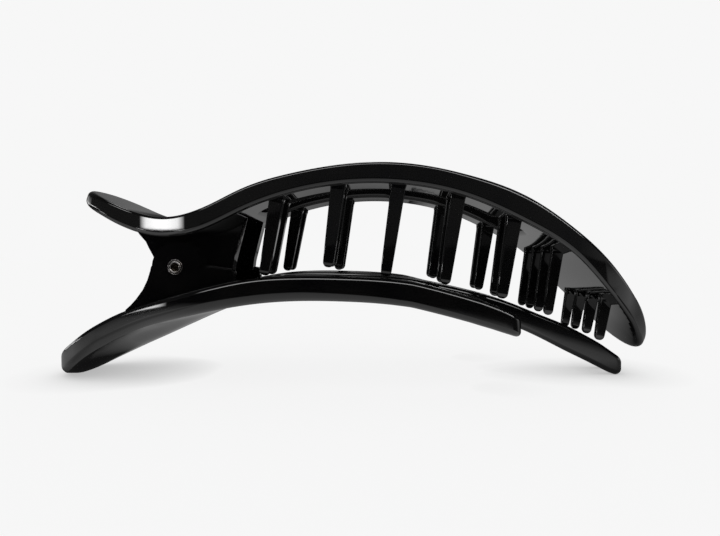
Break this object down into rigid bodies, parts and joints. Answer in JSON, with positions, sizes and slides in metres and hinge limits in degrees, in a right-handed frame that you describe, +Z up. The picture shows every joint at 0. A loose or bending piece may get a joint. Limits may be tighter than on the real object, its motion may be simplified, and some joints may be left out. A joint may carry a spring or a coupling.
{
  "type": "flat claw hair clip",
  "caption": "flat claw hair clip with a slotted arched upper jaw, slim teeth and a pronged lower jaw on one sprung hinge",
  "frame": {"origin": "the surface the closed clip lies on, under the middle of its overall length and width", "axes": "+X from the hinge to the tip of the jaws, +Y across the clip, +Z up, closed and lying on its lower jaw"},
  "size_m": [0.1346, 0.041, 0.046],
  "materials": {
    "plastic": "high gloss black",
    "steel": "bright"
  },
  "bodies": {
    "lower": {"lower_jaw": "plastic", "hinge_pin": "steel", "torsion_spring": "steel"},
    "upper": {"upper_jaw": "plastic"}
  },
  "joints": [
    {"name": "jaw_hinge", "type": "hinge", "parent": "lower", "child": "upper", "pos_m": [-0.03575, 0, 0.0252], "axis": [0, -1, 0], "range_deg": [0, 40], "stiffness_Nm_per_rad": 0.06, "springref_deg": -17.19, "deforming": ["torsion_spring"]}
  ]
}
